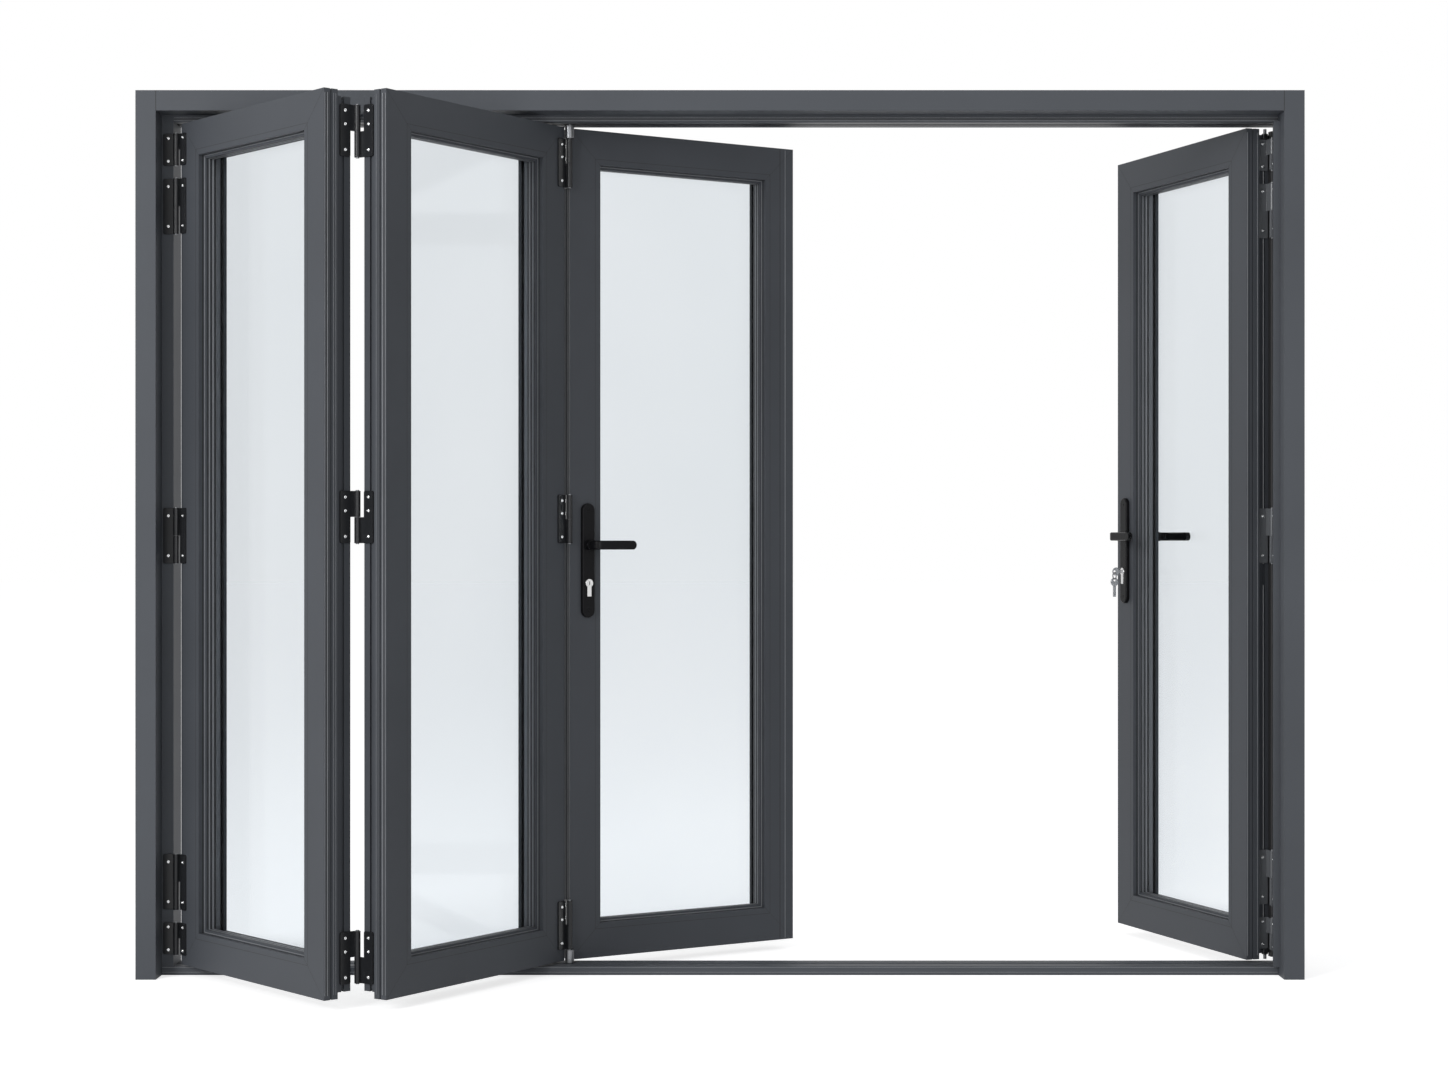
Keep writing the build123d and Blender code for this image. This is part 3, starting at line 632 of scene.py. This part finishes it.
def both_faces(place, proud):
    """Where a thing stands proud of a leaf's front and back, and the way it faces."""
    return (-proud, -place.v), (DEPTH + proud, place.v)


def lock_fronts(name):
    """A leaf's cylinder plugs, and dark strips on them that paint the shade in their key slots. The
    door's front slot holds a key instead.
    """
    place, lock_z = LEAVES[name], lever_height(name) - LOCK_DROP
    plugs, slot_shades = bmesh.new(), bmesh.new()
    for v, out in both_faces(place, LOCK_PROUD):
        centre = place.at(HANDLE_INSET, v, lock_z)
        add_turned(plugs, centre, out, PLUG, segments=28)
        if name == "leaf_3" or v > 0:
            middle, reach = centre + out * SLOT_OUT, place.z * SLOT_REACH
            add_strip(slot_shades, middle - reach, middle + reach, place.u, out, SLOT_WIDTH, SLOT_PROUD)
    new_piece(f"{name}_cylinder_plugs", plugs, nickel, BODY[name])
    new_piece(f"{name}_key_slot_shades", slot_shades, line, BODY[name])


def plate_screws(name):
    """The screw caps near the ends of a leaf's handle plates."""
    place, middle = LEAVES[name], lever_height(name) - PLATE_DROP
    caps = bmesh.new()
    for v, out in both_faces(place, PLATE_PROUD):
        for z in (middle + CAP_SPREAD, middle - CAP_SPREAD):
            add_turned(caps, place.at(HANDLE_INSET, v, z), out, CAP)
    new_piece(f"{name}_plate_screws", caps, black, BODY[name])


for name in ("leaf_3", "door"):
    lock_fronts(name)
    plate_screws(name)


# Stage
def shown_white(nt):
    """1 for what the camera, a mirror or glass sees, and 0 for the light on the object."""
    rays = nt.nodes.new("ShaderNodeLightPath")
    total = rays.outputs["Is Camera Ray"]
    for kind in ("Is Glossy Ray", "Is Transmission Ray"):
        larger = nt.nodes.new("ShaderNodeMath")
        larger.operation = "MAXIMUM"
        nt.links.new(total, larger.inputs[0])
        nt.links.new(rays.outputs[kind], larger.inputs[1])
        total = larger.outputs["Value"]
    return total


def floor_material():
    """Pale matt floor that shows white, with the object's shadow on it."""
    glow_strength = 0.665
    m = bpy.data.materials.new("pale_floor")
    m.use_nodes = True
    nt = m.node_tree
    matt = nt.nodes["Principled BSDF"]
    matt.inputs["Base Color"].default_value = (0.80, 0.80, 0.805, 1)
    matt.inputs["Roughness"].default_value = 0.9
    matt.inputs["Specular IOR Level"].default_value = 0.0
    glow = nt.nodes.new("ShaderNodeEmission")
    glow.inputs["Color"].default_value = (1, 1, 1, 1)
    lift = nt.nodes.new("ShaderNodeMath")
    lift.operation = "MULTIPLY"
    lift.inputs[1].default_value = glow_strength
    both = nt.nodes.new("ShaderNodeAddShader")
    nt.links.new(shown_white(nt), lift.inputs[0])
    nt.links.new(lift.outputs["Value"], glow.inputs["Strength"])
    nt.links.new(matt.outputs["BSDF"], both.inputs[0])
    nt.links.new(glow.outputs["Emission"], both.inputs[1])
    nt.links.new(both.outputs["Shader"], nt.nodes["Material Output"].inputs["Surface"])
    return m


def lay_floor():
    """A flat floor that reaches far to the sides and back."""
    side, front, back = 40, -12, 60
    mesh = bpy.data.meshes.new("floor")
    corners = [(-side, front, 0), (side, front, 0), (side, back, 0), (-side, back, 0)]
    mesh.from_pydata(corners, [], [(0, 1, 2, 3)])
    mesh.materials.append(floor_material())
    floor = bpy.data.objects.new("floor", mesh)
    bpy.context.scene.collection.objects.link(floor)


def light_world():
    """A world that shows white and lights the object softly."""
    world = bpy.data.worlds.new("studio")
    bpy.context.scene.world = world
    world.use_nodes = True
    nt = world.node_tree
    light_strength, white = 0.42, 1.0
    ambient = nt.nodes["Background"]
    seen = nt.nodes.new("ShaderNodeBackground")
    for background, strength in ((ambient, light_strength), (seen, white)):
        background.inputs["Color"].default_value = (1, 1, 1, 1)
        background.inputs["Strength"].default_value = strength
    mix = nt.nodes.new("ShaderNodeMixShader")
    nt.links.new(shown_white(nt), mix.inputs["Fac"])
    nt.links.new(ambient.outputs["Background"], mix.inputs[1])
    nt.links.new(seen.outputs["Background"], mix.inputs[2])
    nt.links.new(mix.outputs["Shader"], nt.nodes["World Output"].inputs["Surface"])


def area(name, place, target, size, power):
    """A soft rectangular light, turned to face a point."""
    data = bpy.data.lights.new(name, "AREA")
    data.energy = power
    data.shape = "RECTANGLE"
    data.size, data.size_y = size
    obj = bpy.data.objects.new(name, data)
    obj.location = place
    obj.rotation_euler = (Vector(target) - Vector(place)).to_track_quat("-Z", "Y").to_euler()
    bpy.context.scene.collection.objects.link(obj)


def place_camera():
    """A level view from the front, matched to the photograph: focal length in its pixels, and place."""
    focal_pixels, picture_pixels, sensor = 2542.0, 1448.0, 36.0
    place = (0.0094, -6.075, 1.031)
    data = bpy.data.cameras.new("camera")
    data.sensor_width = sensor
    data.lens = focal_pixels / picture_pixels * sensor
    cam = bpy.data.objects.new("camera", data)
    cam.location = place
    cam.rotation_euler = (math.radians(90), 0, 0)
    bpy.context.scene.collection.objects.link(cam)
    bpy.context.scene.camera = cam


lay_floor()
light_world()
area("key", place=(-6.4, -7.4, 3.9), target=(0.2, 0.0, 1.0), size=(4.2, 4.2), power=640)
area("fill", place=(1.4, -6.4, 1.9), target=(0.6, 0.0, 1.0), size=(2.6, 2.6), power=66)
area("top", place=(0.0, 0.4, 5.0), target=(0.0, 0.0, 0.0), size=(4.0, 3.0), power=20)
place_camera()
bpy.context.scene.view_settings.view_transform = "Standard"
